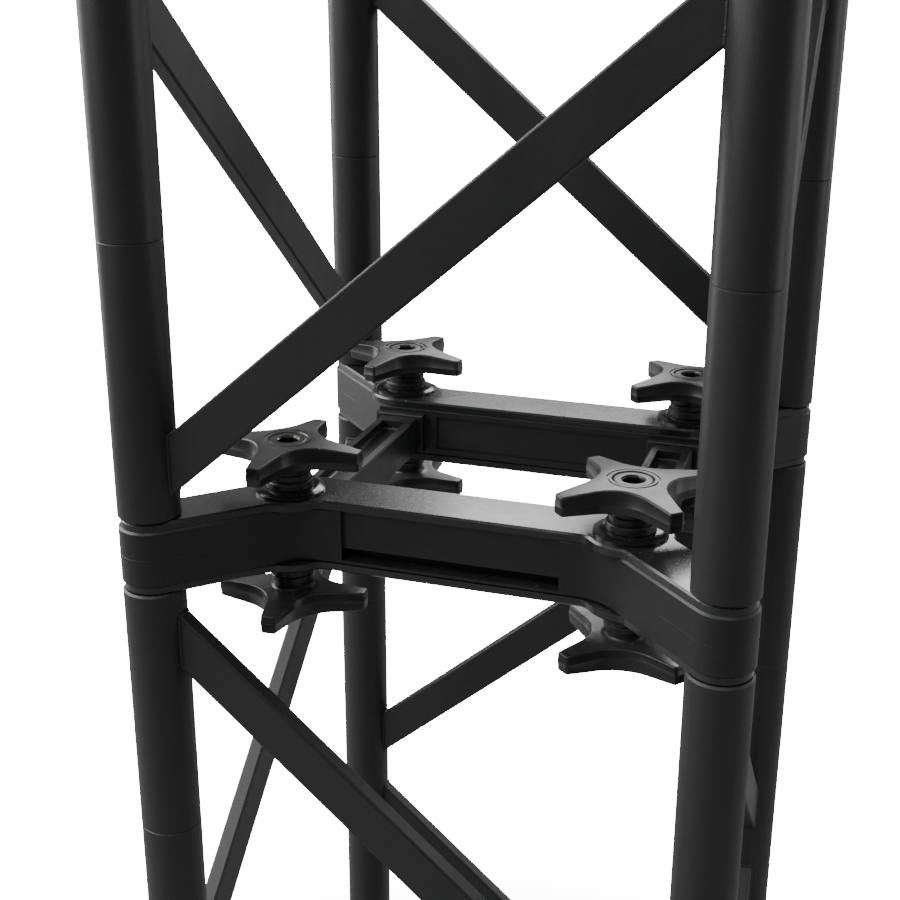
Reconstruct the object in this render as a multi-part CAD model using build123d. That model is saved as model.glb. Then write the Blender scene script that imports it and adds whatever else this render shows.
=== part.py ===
from build123d import *
import math
import os

# A square lighting truss: two identical welded modules clamped end to end on a central
# coupling frame by four knob bolts. All sizes are in millimetres. The origin is the
# centre of the footprint, +Z runs up the truss, and the front of the truss faces -Y.

# Chord tubes
TUBE_DIAMETER = 25.4
TUBE_WALL = 2.5
CHORD_SPACING = 228.6        # centre to centre, both ways
STUB_LENGTH = 111.5          # end stub, from the end plate to the seam in the chord
SEAM_CHAMFER = 0.35
RIM_CHAMFER = 0.8            # rim of the stub on its end plate
SLEEVE_LENGTH = 60.0         # sleeve inside each seam
SLEEVE_WALL = 3.0

# Flat braces
BRACE_WIDTH = 19.0
BRACE_THICKNESS = 7.6
BRACE_EDGE = 1.2
NODE_OFFSET = 16.0           # module face to the first brace node
NODE_GAP = 28.0              # between the nodes of two neighbouring cells
CELL_RISE = 197.0            # height climbed by one brace
CELLS = 2

# End plates, and the coupling frame between the modules
PLATE_THICKNESS = 3.5
PLATE_STEP = 1.0             # the plate stands in from the bracket at the arms
PLATE_EDGE = 0.8
BRACKET_HEIGHT = 24.0
BRACKET_EDGE = 0.8
ARM_LENGTH = 59.6            # tube axis to bolt axis, along the diagonal
BOSS_RADIUS = 17.5
BAR_OUTSIDE = 8.25           # outer face of the bar, measured out from the bolt axis
BAR_OVERHANG = 7.85          # end of the bar, measured past the bolt axis
ARM_BLEND = 20.0             # concave radius from the bar to the arm of a bracket
PLATE_BLEND = 6.0            # concave radius where a plate runs round its boss
PANEL_HALF = 46.0            # half length of the recessed panel in the bar
PANEL_DEPTH = 2.0
PANEL_BOTTOM = -5.0          # from the joint's middle plane
SLOT_DEPTH = 8.0
SLOT_BOTTOM = -10.0
INNER_PANEL_HALF = 50.0
INNER_PANEL_BORDER = 3.5
INNER_PANEL_DEPTH = 1.2

# Side bars of the coupling frame
SIDE_BAR_WIDTH = 19.0
SIDE_BAR_INSET = 3.75        # centre line, measured in from the bolt axis
SIDE_BAR_TOP = 8.0           # from the joint's middle plane
SIDE_BAR_BOTTOM = -10.0
SIDE_RIM = 3.8               # rim along the pocket in the top of a bar
SIDE_END_RIM = 7.5           # rim at both ends of the pocket
SIDE_POCKET_DEPTH = 4.5
SIDE_POCKET_FILLET = 1.5     # round the pocket's floor
SIDE_EDGE = 0.7
LUG_WIDTH = 24.5             # lug on a bracket's inner face that carries a side bar
LUG_DEPTH = 4.0
LUG_RISE = 1.3               # the lug stands above the side bar's top
LUG_EDGE = 0.5

# Clamp bolts and star knobs
BOLT_DIAMETER = 10.0
BOLT_PITCH = 1.5
BOLT_LENGTH = 65.0
HEAD_DIAMETER = 16.0
HEAD_HEIGHT = 10.0
HEAD_EDGE = 0.6
SOCKET_ACROSS_FLATS = 8.0
SOCKET_DEPTH = 5.5
HEAD_BELOW_HUB = 0.3
HOLE_CLEARANCE = 0.5         # radial, bolt in the plates, washers and knobs
BOSS_CLEARANCE = 0.25        # radial, bolt in the cast brackets
THREAD_CLEARANCE = 0.05      # radial, bolt in the threaded insert
WASHER_RADIUS = 14.8
WASHER_THICKNESS = 2.2
WASHER_RIM = 1.0
WASHER_LAND = 0.5            # flat of the washer outside the neck
WASHER_DOME = 0.3            # rise of the domed edge over a straight cone
KNOB_TIP_RADIUS = 32.5
KNOB_TIP_WIDTH = 6.4
KNOB_TAPER = 10.0            # degrees, each flank against the arm's centre line
KNOB_WAIST_BLEND = 17.0
KNOB_TIP_ROUND = 0.8
KNOB_ARMS = 4
KNOB_BOTTOM = 12.5           # underside of the arms above the end plate
KNOB_TIP_TOP = 20.4
KNOB_HUB_TOP = 22.5
KNOB_HUB_RADIUS = 11.0
KNOB_EDGE = 0.5
NECK_RADIUS = 10.0
NECK_WAIST = 8.4
NECK_COLLAR = 3.2
NECK_GROOVE = 1.0
NECK_RING_STEP = 0.8         # the neck ring stands in from the collar
HUB_GROOVE_GAP = 1.6         # between the bolt head and the ring cut in the hub
HUB_GROOVE_WIDTH = 0.8
HUB_GROOVE_DEPTH = 0.6
OVERRUN = 1.0                # cutters run this far past the faces that they cut
TOLERANCE = 0.01             # places closer than this are the same place
PROBE_RADIUS = 0.2           # disc that feels whether a corner is concave
PROBE_FILLED = 0.51          # share of the disc that a concave corner fills at least

# Rest angles of the knobs' arms, in degrees
KNOB_ANGLES = {"front_left": -2.0, "front_right": 41.0, "back_right": 44.0, "back_left": -14.0}
LOWER_KNOB_ANGLES = {"front_left": -5.0, "front_right": 38.0, "back_right": 40.0, "back_left": 12.0}

# Positions worked out from the sizes above
tube_radius = TUBE_DIAMETER / 2
bore_radius = tube_radius - TUBE_WALL
chord_xy = CHORD_SPACING / 2
bolt_xy = chord_xy - ARM_LENGTH / math.sqrt(2)
module_length = 2 * NODE_OFFSET + CELLS * CELL_RISE + (CELLS - 1) * NODE_GAP
middle_z = module_length + BRACKET_HEIGHT / 2
bar_outer = bolt_xy + BAR_OUTSIDE
bar_inner = bolt_xy - BOSS_RADIUS
side_bar_x = bolt_xy - SIDE_BAR_INSET
hole_radius = BOLT_DIAMETER / 2 + HOLE_CLEARANCE
boss_hole_radius = BOLT_DIAMETER / 2 + BOSS_CLEARANCE
head_seat = KNOB_HUB_TOP - HEAD_BELOW_HUB - HEAD_HEIGHT
seam_z = PLATE_THICKNESS + STUB_LENGTH

CORNERS = {"front_left": (-1, -1), "front_right": (1, -1), "back_right": (1, 1), "back_left": (-1, 1)}
FACES = ("front", "right", "back", "left")
MODULES = {"lower": 0.0, "upper": module_length + BRACKET_HEIGHT}


def at_corners(distance):
    """The four places at this distance from the middle, both ways."""
    return [Pos(sx * distance, sy * distance) for sx, sy in CORNERS.values()]


def is_concave(corner, outline):
    """Whether the outline fills more than half of a small disc round this corner."""
    disc = Circle(PROBE_RADIUS)
    return (Pos(corner.X, corner.Y) * disc & outline).area > PROBE_FILLED * disc.area


def rounded_inside(outline, radius):
    """Round the outline's concave corners and leave the convex ones sharp."""
    return fillet([v for v in outline.vertices() if is_concave(v, outline)], radius)


def bow_outline(width, bar_end, boss):
    """Front bow in plan: a bar with a diagonal arm at each end that ends round a chord."""
    outline = Pos(0, -(bar_outer + bar_inner) / 2) * Rectangle(2 * bar_end, bar_outer - bar_inner)
    run_in = BOSS_RADIUS / 2
    arm = Rectangle(ARM_LENGTH + run_in, width)
    for side in (-1, 1):
        middle = chord_xy - (ARM_LENGTH + run_in) / 2 / math.sqrt(2)
        outline += Pos(side * middle, -middle) * Rot(0, 0, -45 * side) * arm
        outline += Pos(side * chord_xy, -chord_xy) * Circle(width / 2)
        if boss:
            outline += Pos(side * bolt_xy, -bolt_xy) * Circle(boss)
    return outline


def bolt_holes(radius, middle, height):
    """Cutters for the two bolt holes of a front bow this high, about its middle height."""
    cutter = Cylinder(radius, height + 2 * OVERRUN)
    return [Pos(side * bolt_xy, -bolt_xy, middle) * cutter for side in (-1, 1)]


def end_plate():
    """Front end plate of a module, mating face at z = 0."""
    outline = bow_outline(TUBE_DIAMETER - 2 * PLATE_STEP, bolt_xy, BOSS_RADIUS)
    plate = extrude(rounded_inside(outline, PLATE_BLEND), PLATE_THICKNESS)
    plate = chamfer(plate.faces().sort_by(Axis.Z)[-1].outer_wire().edges(), PLATE_EDGE)
    return plate - bolt_holes(hole_radius, PLATE_THICKNESS / 2, PLATE_THICKNESS)


def coupling_bracket():
    """Front bracket of the coupling frame, with its middle plane at z = 0."""
    outline = bow_outline(TUBE_DIAMETER, bolt_xy + BAR_OVERHANG, 0)
    front = [v for v in outline.vertices()
             if abs(v.Y + bar_outer) < TOLERANCE and abs(v.X) < bolt_xy]
    half = BRACKET_HEIGHT / 2
    body = Pos(0, 0, -half) * extrude(fillet(front, ARM_BLEND), BRACKET_HEIGHT)
    flats = body.faces().sort_by(Axis.Z)
    body = chamfer(flats[0].outer_wire().edges() + flats[-1].outer_wire().edges(), BRACKET_EDGE)
    body -= bolt_holes(boss_hole_radius, 0, BRACKET_HEIGHT)

    def pocket(half_length, low, high, face_y, depth):
        return Pos(0, face_y, (low + high) / 2) * Box(2 * half_length, 2 * depth, high - low)

    body -= pocket(PANEL_HALF, PANEL_BOTTOM, half + OVERRUN, -bar_outer, PANEL_DEPTH)
    body -= pocket(PANEL_HALF, SLOT_BOTTOM, PANEL_BOTTOM, -bar_outer, SLOT_DEPTH)
    body -= pocket(INNER_PANEL_HALF, -half + INNER_PANEL_BORDER, half - INNER_PANEL_BORDER,
                   -bar_inner, INNER_PANEL_DEPTH)
    for side in (-1, 1):
        body += Pos(side * side_bar_x, -bar_inner) * lug()
    return body


def lug():
    """Lug for the end of a side bar, rooted in a bracket whose inner face is at y = 0."""
    height = SIDE_BAR_TOP + LUG_RISE - SIDE_BAR_BOTTOM
    block = Box(LUG_WIDTH, LUG_DEPTH + 2 * INNER_PANEL_DEPTH, height)
    block = chamfer(block.edges().group_by(Axis.Y)[-1], LUG_EDGE)
    return Pos(0, LUG_DEPTH / 2 - INNER_PANEL_DEPTH, SIDE_BAR_BOTTOM + height / 2) * block


def side_bar():
    """Left side bar of the coupling frame, with the joint's middle plane at z = 0."""
    length = 2 * (bar_inner - LUG_DEPTH)
    height = SIDE_BAR_TOP - SIDE_BAR_BOTTOM
    bar = Pos(0, 0, (SIDE_BAR_TOP + SIDE_BAR_BOTTOM) / 2) * Box(SIDE_BAR_WIDTH, length, height)
    bar = chamfer(bar.edges().filter_by(Axis.Y), SIDE_EDGE)
    cutter_height = SIDE_POCKET_DEPTH + OVERRUN
    cutter = Box(SIDE_BAR_WIDTH - 2 * SIDE_RIM, length - 2 * SIDE_END_RIM, cutter_height)
    cutter = fillet(cutter.edges().group_by(Axis.Z)[0], SIDE_POCKET_FILLET)
    bar -= Pos(0, 0, SIDE_BAR_TOP - SIDE_POCKET_DEPTH + cutter_height / 2) * cutter
    return Pos(-side_bar_x, 0, 0) * bar


def pipe(outer, inner, low, high):
    """A tube on the Z axis between two heights."""
    return Pos(0, 0, (low + high) / 2) * (Cylinder(outer, high - low) - Cylinder(inner, high - low))


def stub():
    """End stub of a chord, standing on an end plate whose mating face is at z = 0."""
    tube = pipe(tube_radius, bore_radius, PLATE_THICKNESS, seam_z)
    rims = tube.edges().filter_by(GeomType.CIRCLE).group_by(SortBy.RADIUS)[-1].sort_by(Axis.Z)
    tube = chamfer(rims[0], RIM_CHAMFER)
    rims = tube.edges().filter_by(GeomType.CIRCLE).group_by(SortBy.RADIUS)[-1].sort_by(Axis.Z)
    return chamfer(rims[-1], SEAM_CHAMFER)


def chord():
    """Middle tube of a chord, between its two seams."""
    tube = pipe(tube_radius, bore_radius, seam_z, module_length - seam_z)
    rims = tube.edges().filter_by(GeomType.CIRCLE).group_by(SortBy.RADIUS)[-1]
    return chamfer(rims, SEAM_CHAMFER)


def sleeve():
    """Sleeve pressed into a chord across the seam, centred on z = 0."""
    return pipe(bore_radius, bore_radius - SLEEVE_WALL, -SLEEVE_LENGTH / 2, SLEEVE_LENGTH / 2)


def brace(cell):
    """Front brace of one cell. Even cells rise to the right, and odd ones to the left."""
    low = NODE_OFFSET + cell * (CELL_RISE + NODE_GAP)
    slope = math.degrees(math.atan2(CELL_RISE, CHORD_SPACING))
    length = math.hypot(CELL_RISE, CHORD_SPACING)
    bar = Box(length, BRACE_THICKNESS, BRACE_WIDTH)
    bar = fillet(bar.edges().filter_by(Axis.X), BRACE_EDGE)
    lean = -slope if cell % 2 == 0 else slope
    bar = Pos(0, -chord_xy, low + CELL_RISE / 2) * Rot(0, lean, 0) * bar
    for side in (-1, 1):
        bar -= Pos(side * chord_xy, -chord_xy, module_length / 2) * Cylinder(tube_radius, 2 * module_length)
    return bar.solids().sort_by(SortBy.VOLUME)[-1]


def washer():
    """Domed thrust washer, seated at z = 0."""
    flat = NECK_RADIUS + WASHER_LAND
    with BuildPart() as part:
        with BuildSketch(Plane.XZ):
            with BuildLine():
                Polyline((hole_radius, 0), (WASHER_RADIUS, 0), (WASHER_RADIUS, WASHER_RIM))
                SagittaArc((WASHER_RADIUS, WASHER_RIM), (flat, WASHER_THICKNESS), -WASHER_DOME)
                Polyline((flat, WASHER_THICKNESS), (hole_radius, WASHER_THICKNESS), (hole_radius, 0))
            make_face()
        revolve(axis=Axis.Z)
    return part.part


def star_outline():
    """Knob arms in plan: tapered arms blended into a waist."""
    half_tip = KNOB_TIP_WIDTH / 2
    half_root = half_tip + KNOB_TIP_RADIUS * math.tan(math.radians(KNOB_TAPER))
    arm = make_face(Polyline((0, -half_root), (KNOB_TIP_RADIUS, -half_tip),
                             (KNOB_TIP_RADIUS, half_tip), (0, half_root), close=True))
    outline = arm
    for i in range(1, KNOB_ARMS):
        outline += Rot(0, 0, 360 / KNOB_ARMS * i) * arm
    outline = rounded_inside(outline, KNOB_WAIST_BLEND)
    tips = outline.vertices().filter_by(lambda v: math.hypot(v.X, v.Y) > KNOB_TIP_RADIUS - OVERRUN)
    return fillet(tips, KNOB_TIP_ROUND)


def knob():
    """Star knob above an end plate whose outer face is at z = 0, arms along X and Y."""
    star = Pos(0, 0, KNOB_BOTTOM) * extrude(star_outline(), KNOB_HUB_TOP - KNOB_BOTTOM)
    reach = KNOB_TIP_RADIUS + OVERRUN
    profile = make_face(Polyline((0, 0), (reach, 0), (reach, KNOB_TIP_TOP), (KNOB_HUB_RADIUS, KNOB_HUB_TOP),
                                 (0, KNOB_HUB_TOP), close=True))
    star = star & revolve(Plane.XZ * profile, Axis.Z)
    sloped = star.faces().filter_by(lambda f: f.normal_at().Z > TOLERANCE)
    top = [f for f in sloped if f.center().Z > KNOB_BOTTOM + OVERRUN]
    rim = [e for f in top for e in f.edges() if e.center().Z < KNOB_HUB_TOP - TOLERANCE]
    star = chamfer(rim, KNOB_EDGE)
    star = chamfer(star.faces().sort_by(Axis.Z)[0].outer_wire().edges(), KNOB_EDGE)
    ring_z = WASHER_THICKNESS + NECK_COLLAR
    ring_radius = NECK_RADIUS - NECK_RING_STEP
    neck = make_face(Polyline(
        (0, WASHER_THICKNESS), (NECK_RADIUS, WASHER_THICKNESS), (NECK_RADIUS, ring_z),
        (NECK_WAIST, ring_z), (NECK_WAIST, ring_z + NECK_GROOVE),
        (ring_radius, ring_z + NECK_GROOVE), (ring_radius, ring_z + 3 * NECK_GROOVE),
        (NECK_WAIST, ring_z + 3 * NECK_GROOVE), (NECK_WAIST, KNOB_BOTTOM + OVERRUN),
        (0, KNOB_BOTTOM + OVERRUN), close=True))
    body = star + revolve(Plane.XZ * neck, Axis.Z)
    body -= Cylinder(hole_radius, 2 * (head_seat + OVERRUN))
    body -= Pos(0, 0, head_seat + HEAD_HEIGHT) * Cylinder(HEAD_DIAMETER / 2, 2 * HEAD_HEIGHT)
    groove_radius = HEAD_DIAMETER / 2 + HUB_GROOVE_GAP
    groove = pipe(groove_radius + HUB_GROOVE_WIDTH, groove_radius,
                  KNOB_HUB_TOP - HUB_GROOVE_DEPTH, KNOB_HUB_TOP + OVERRUN)
    return body - groove


def bolt():
    """Socket-head bolt in a knob, in the knob's own frame, shank downwards."""
    head = Pos(0, 0, head_seat + HEAD_HEIGHT / 2) * Cylinder(HEAD_DIAMETER / 2, HEAD_HEIGHT)
    head = chamfer(head.edges().filter_by(GeomType.CIRCLE).sort_by(Axis.Z)[-1], HEAD_EDGE)
    socket = extrude(RegularPolygon(SOCKET_ACROSS_FLATS / 2, 6, major_radius=False), SOCKET_DEPTH + OVERRUN)
    head -= Pos(0, 0, head_seat + HEAD_HEIGHT - SOCKET_DEPTH) * socket
    shank = Pos(0, 0, head_seat - BOLT_LENGTH / 2) * Cylinder(BOLT_DIAMETER / 2, BOLT_LENGTH)
    tip = shank.edges().filter_by(GeomType.CIRCLE).sort_by(Axis.Z)[0]
    return head + chamfer(tip, HEAD_EDGE)


def threaded_insert():
    """Threaded bush in a lower knob, in the knob's own frame."""
    return pipe(HEAD_DIAMETER / 2, BOLT_DIAMETER / 2 + THREAD_CLEARANCE, head_seat, head_seat + HEAD_HEIGHT)


def write(node, shape, colour):
    """Write one node's solids to its own file."""
    shape.label = node
    shape.color = Color(*colour)
    export_step(shape, f"parts/{node}.step")


BLACK_PAINT = (0.05, 0.05, 0.055)
PLATE_PAINT = (0.10, 0.10, 0.11)
PLASTIC = (0.08, 0.08, 0.08)
STEEL = (0.35, 0.35, 0.36)
BRASS = (0.60, 0.50, 0.25)

os.makedirs("parts", exist_ok=True)

mirrored = Plane.XY.offset(module_length / 2)
one_plate, one_stub, one_chord, one_sleeve = end_plate(), stub(), chord(), sleeve()
low_plates = [one_plate, Rot(0, 0, 180) * one_plate]
low_stubs = [place * one_stub for place in at_corners(chord_xy)]
high_stubs = [mirror(piece, mirrored) for piece in low_stubs]
sleeves = [place * Pos(0, 0, z) * one_sleeve for place in at_corners(chord_xy)
           for z in (seam_z, module_length - seam_z)]
braces = [brace(cell) for cell in range(CELLS)]

for module, base in MODULES.items():
    lift = Pos(0, 0, base)
    write(f"{module}_bottom_end_plates", Compound([lift * piece for piece in low_plates]), PLATE_PAINT)
    high_plates = [lift * mirror(piece, mirrored) for piece in low_plates]
    write(f"{module}_top_end_plates", Compound(high_plates), PLATE_PAINT)
    write(f"{module}_end_stubs", Compound([lift * piece for piece in low_stubs + high_stubs]), BLACK_PAINT)
    write(f"{module}_seam_sleeves", Compound([lift * piece for piece in sleeves]), STEEL)
    for corner, (sx, sy) in CORNERS.items():
        write(f"{module}_chord_{corner}", lift * Pos(sx * chord_xy, sy * chord_xy) * one_chord, BLACK_PAINT)
    for turn, face in enumerate(FACES):
        for cell, piece in enumerate(braces):
            write(f"{module}_brace_{face}_{cell + 1}", lift * Rot(0, 0, 90 * turn) * piece, BLACK_PAINT)

centre = Pos(0, 0, middle_z)
one_bracket, one_side_bar = coupling_bracket(), side_bar()
write("coupling_bracket_front", centre * one_bracket, BLACK_PAINT)
write("coupling_bracket_back", centre * Rot(0, 0, 180) * one_bracket, BLACK_PAINT)
write("coupling_side_bar_left", centre * one_side_bar, BLACK_PAINT)
write("coupling_side_bar_right", centre * Rot(0, 0, 180) * one_side_bar, BLACK_PAINT)

one_knob, one_bolt, one_washer, one_insert = knob(), bolt(), washer(), threaded_insert()
plate_face = BRACKET_HEIGHT / 2 + PLATE_THICKNESS
for corner, (sx, sy) in CORNERS.items():
    place = Pos(sx * bolt_xy, sy * bolt_xy, middle_z)
    upper = place * Pos(0, 0, plate_face) * Rot(0, 0, KNOB_ANGLES[corner])
    lower = place * Pos(0, 0, -plate_face) * Rot(180, 0, 0) * Rot(0, 0, LOWER_KNOB_ANGLES[corner])
    write(f"upper_knob_{corner}", upper * one_knob, PLASTIC)
    write(f"upper_washer_{corner}", upper * one_washer, STEEL)
    write(f"clamp_bolt_{corner}", upper * one_bolt, STEEL)
    write(f"lower_knob_{corner}", lower * one_knob, PLASTIC)
    write(f"lower_washer_{corner}", lower * one_washer, STEEL)
    write(f"threaded_insert_{corner}", lower * one_insert, BRASS)
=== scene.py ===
"""Looks of a two-module lighting truss section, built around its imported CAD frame."""

import math

import bpy
import numpy as np
from bpy.props import FloatProperty, FloatVectorProperty, IntProperty, PointerProperty
from mathutils import Matrix, Vector


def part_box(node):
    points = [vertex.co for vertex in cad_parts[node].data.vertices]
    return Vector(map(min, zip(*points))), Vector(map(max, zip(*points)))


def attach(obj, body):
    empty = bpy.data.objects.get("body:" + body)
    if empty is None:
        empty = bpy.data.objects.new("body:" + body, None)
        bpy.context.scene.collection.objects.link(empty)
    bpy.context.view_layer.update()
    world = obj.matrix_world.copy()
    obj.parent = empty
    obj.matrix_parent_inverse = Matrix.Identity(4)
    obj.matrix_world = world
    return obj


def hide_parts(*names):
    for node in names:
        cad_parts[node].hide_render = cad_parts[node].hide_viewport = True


bl_info = {
    "name": "Lighting truss looks",
    "version": (1, 0, 0),
    "blender": (4, 5, 0),
    "location": "View3D > Sidebar > Truss",
    "description": "Welds, star knobs, threads, paint and studio for a clamped box truss",
    "category": "Object",
}

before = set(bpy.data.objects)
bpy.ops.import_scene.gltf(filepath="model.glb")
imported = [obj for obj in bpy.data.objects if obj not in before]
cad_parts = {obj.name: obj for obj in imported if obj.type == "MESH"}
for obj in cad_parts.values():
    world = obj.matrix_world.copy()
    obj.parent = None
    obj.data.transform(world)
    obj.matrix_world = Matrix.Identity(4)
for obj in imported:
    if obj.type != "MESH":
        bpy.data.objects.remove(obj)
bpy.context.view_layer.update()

MM = 0.001
CORNERS = ("front_left", "front_right", "back_right", "back_left")
OUTWARD = {"front": (0, -1, 0), "right": (1, 0, 0), "back": (0, 1, 0), "left": (-1, 0, 0)}
MODULES = ("lower", "upper")
FLIP = Matrix.Rotation(math.pi, 4, "X")


# ---------------------------------------------------------------- sizes read from the frame

def middle(node):
    """Centre of a CAD node's box."""
    low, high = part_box(node)
    return (low + high) / 2


def size(node):
    """Edge lengths of a CAD node's box."""
    low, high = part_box(node)
    return high - low


def corners_of(node):
    """All vertices of a CAD node as an array of rows."""
    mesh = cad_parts[node].data
    places = np.empty(3 * len(mesh.vertices), np.float32)
    mesh.vertices.foreach_get("co", places)
    return places.reshape(-1, 3).astype(float)


JOINT_Z = middle("coupling_bracket_front").z
CHORD_RADIUS = size("upper_chord_front_left").x / 2
CHORD_XY = abs(middle("upper_chord_front_left").x)
KNOB_REACH = (np.hypot(*(corners_of("upper_knob_front_left")[:, :2]
                         - np.array(middle("clamp_bolt_front_left"))[:2]).T)).max()
FACE_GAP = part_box("upper_washer_front_left")[0].z - JOINT_Z
KNOB_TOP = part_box("upper_knob_front_left")[1].z - JOINT_Z - FACE_GAP
WASHER_TOP = size("upper_washer_front_left").z
BOLT_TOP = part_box("clamp_bolt_front_left")[1].z - JOINT_Z - FACE_GAP
BOLT_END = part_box("clamp_bolt_front_left")[0].z - JOINT_Z - FACE_GAP
HEAD_RADIUS = size("clamp_bolt_front_left").x / 2
HEAD_HEIGHT = size("threaded_insert_front_left").z


def arm_angle(node, axis):
    """World angle of one arm of a star knob: the mean direction of its tips, taken modulo a quarter turn."""
    flat = corners_of(node)[:, :2] - np.array(axis)[:2]
    tips = flat[np.hypot(*flat.T) > 0.99 * KNOB_REACH]
    turns = 4 * np.arctan2(tips[:, 1], tips[:, 0])
    return math.atan2(np.sin(turns).mean(), np.cos(turns).mean()) / 4


# ---------------------------------------------------------------- settings

class TrussShapeSettings(bpy.types.PropertyGroup):
    """Sizes of the pieces that are added to the frame."""

    knob_tip_width: FloatProperty(
        name="Knob tip width", description="Width of a knob arm at its tip",
        default=6.4 * MM, unit="LENGTH", precision=5)
    knob_taper: FloatProperty(
        name="Knob taper", description="Angle of each arm flank against the arm's centre line",
        default=math.radians(10), subtype="ANGLE")
    knob_waist: FloatProperty(
        name="Knob waist", description="Radius of the hollow between two arms",
        default=17.0 * MM, unit="LENGTH", precision=5)
    knob_edge: FloatProperty(
        name="Knob edge", description="Radius of the upper edge of the arms",
        default=0.9 * MM, unit="LENGTH", precision=5)
    knob_droop: FloatProperty(
        name="Arm droop", description="Fall of an arm's top from the hub to the tip",
        default=2.1 * MM, unit="LENGTH", precision=5)
    arm_depth: FloatProperty(
        name="Arm depth", description="Depth of the arms below the hub's top",
        default=10.0 * MM, unit="LENGTH", precision=5)
    thread_pitch: FloatProperty(
        name="Thread pitch", description="Lift of the clamp bolts in one turn",
        default=1.5 * MM, unit="LENGTH", precision=5)
    thread_depth: FloatProperty(
        name="Thread depth", description="Depth of the clamp bolts' thread",
        default=0.85 * MM, unit="LENGTH", precision=5)
    socket_flats: FloatProperty(
        name="Socket size", description="Hexagon socket across flats",
        default=8.0 * MM, unit="LENGTH", precision=5)
    weld_radius: FloatProperty(
        name="Weld size", description="Radius of the bead round a brace end",
        default=0.85 * MM, unit="LENGTH", precision=5)
    weld_ripples: IntProperty(
        name="Weld ripples", description="Ripples in the bead round one brace end", default=34, min=4)
    parting_height: FloatProperty(
        name="Parting line", description="Height of the casting's parting line on the brackets' corners",
        default=0.16 * MM, unit="LENGTH", precision=5)


class TrussFinishSettings(bpy.types.PropertyGroup):
    """Colours and grain of the finishes."""

    tube_colour: FloatVectorProperty(
        name="Tube paint", description="Satin powder coat on the welded modules",
        subtype="COLOR", default=(0.0190, 0.0195, 0.0200), min=0, max=1)
    casting_colour: FloatVectorProperty(
        name="Casting paint", description="Powder coat on the coupling frame",
        subtype="COLOR", default=(0.0125, 0.0130, 0.0138), min=0, max=1)
    plate_colour: FloatVectorProperty(
        name="Plate paint", description="Semi-gloss powder coat on the end plates",
        subtype="COLOR", default=(0.012, 0.0128, 0.0138), min=0, max=1)
    knob_colour: FloatVectorProperty(
        name="Knob plastic", description="Glass-filled plastic of the star knobs",
        subtype="COLOR", default=(0.016, 0.016, 0.0165), min=0, max=1)
    # Rubbed paint and painted highlight: edges in this colour stand for both wear and the light the arrises
    # catch
    rubbed_colour: FloatVectorProperty(
        name="Rubbed and highlit edges", description="Paint that handling has polished and greyed",
        subtype="COLOR", default=(0.055, 0.056, 0.058), min=0, max=1)
    dust_colour: FloatVectorProperty(
        name="Dust", description="Dust lying on upper faces",
        subtype="COLOR", default=(0.24, 0.235, 0.225), min=0, max=1)
    peel_size: FloatProperty(
        name="Orange peel", description="Width of one ripple of the powder coat's orange peel",
        default=2.2 * MM, unit="LENGTH", precision=5)
    peel_height: FloatProperty(
        name="Peel height", description="Height of the orange peel",
        default=0.05 * MM, unit="LENGTH", precision=6)


class TrussStudioSettings(bpy.types.PropertyGroup):
    """Camera, lights and backdrop. Places are measured from the middle of the joint."""

    camera_offset: FloatVectorProperty(
        name="Camera place", description="Camera, from the middle of the joint",
        subtype="TRANSLATION", default=(0.15876, -0.56771, 0.23284))
    camera_yaw: FloatProperty(
        name="Camera yaw", description="Turn of the view from straight ahead, to the right",
        subtype="ANGLE", default=math.radians(-17.949))
    camera_pitch: FloatProperty(
        name="Camera pitch", description="Tilt of the view, upwards", subtype="ANGLE",
        default=math.radians(-18.950))
    camera_roll: FloatProperty(
        name="Camera roll", description="Roll of the camera", subtype="ANGLE", default=math.radians(0.173))
    lens: FloatProperty(name="Lens", description="Focal length in millimetres", default=55.8)
    shift_y: FloatProperty(name="Vertical shift", description="Lens shift, upwards", default=-0.0344)
    backdrop_glow: FloatProperty(
        name="Backdrop glow", description="Brightness of floor and backdrop as the camera sees them",
        default=18.0, min=0)
    # Painted shadow: within this radius the floor's glow fades towards the truss and is darkest under it
    shade_reach: FloatProperty(
        name="Shade reach", description="Radius of the shaded floor under the truss",
        default=0.42, unit="LENGTH")
    room_light: FloatProperty(
        name="Room light", description="Soft light that reaches the truss from behind", default=0.32, min=0)
    front_light: FloatProperty(
        name="Front light", description="Soft light that reaches the truss from the front",
        default=0.06, min=0)
    back_light: FloatProperty(
        name="Back light", description="Radiance of the soft box behind the truss", default=9.0, min=0)
    side_light: FloatProperty(
        name="Side light", description="Radiance of the tall soft boxes at both sides", default=2.2, min=0)
    window_light: FloatProperty(
        name="Window light", description="Radiance of the broad soft box high on the left",
        default=7.0, min=0)
    top_light: FloatProperty(
        name="Top light", description="Radiance of the soft box above the front", default=1.6, min=0)


# ---------------------------------------------------------------- meshes from grids

def grid_piece(name, rows, close_rows=False, sharp=math.radians(38)):
    """A mesh on a grid of points, rows by columns by three. Each row is a closed ring. The first and last
    rows are joined when close_rows is set, and otherwise each is closed by a fan to its own middle."""
    count, ring = rows.shape[:2]
    index = np.arange(count * ring).reshape(count, ring)
    lower = index if close_rows else index[:-1]
    upper = np.roll(index, -1, 0) if close_rows else index[1:]
    quads = np.stack([lower, np.roll(lower, -1, 1), np.roll(upper, -1, 1), upper], -1).reshape(-1, 4)
    places = rows.reshape(-1, 3)
    faces = quads.tolist()
    if not close_rows:
        places = np.vstack([places, rows[0].mean(0), rows[-1].mean(0)])
        first, last = index[0], index[-1]
        faces += np.stack([np.roll(first, -1), first, np.full(ring, count * ring)], -1).tolist()
        faces += np.stack([last, np.roll(last, -1), np.full(ring, count * ring + 1)], -1).tolist()
    return mesh_piece(name, places, faces, sharp)


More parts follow.
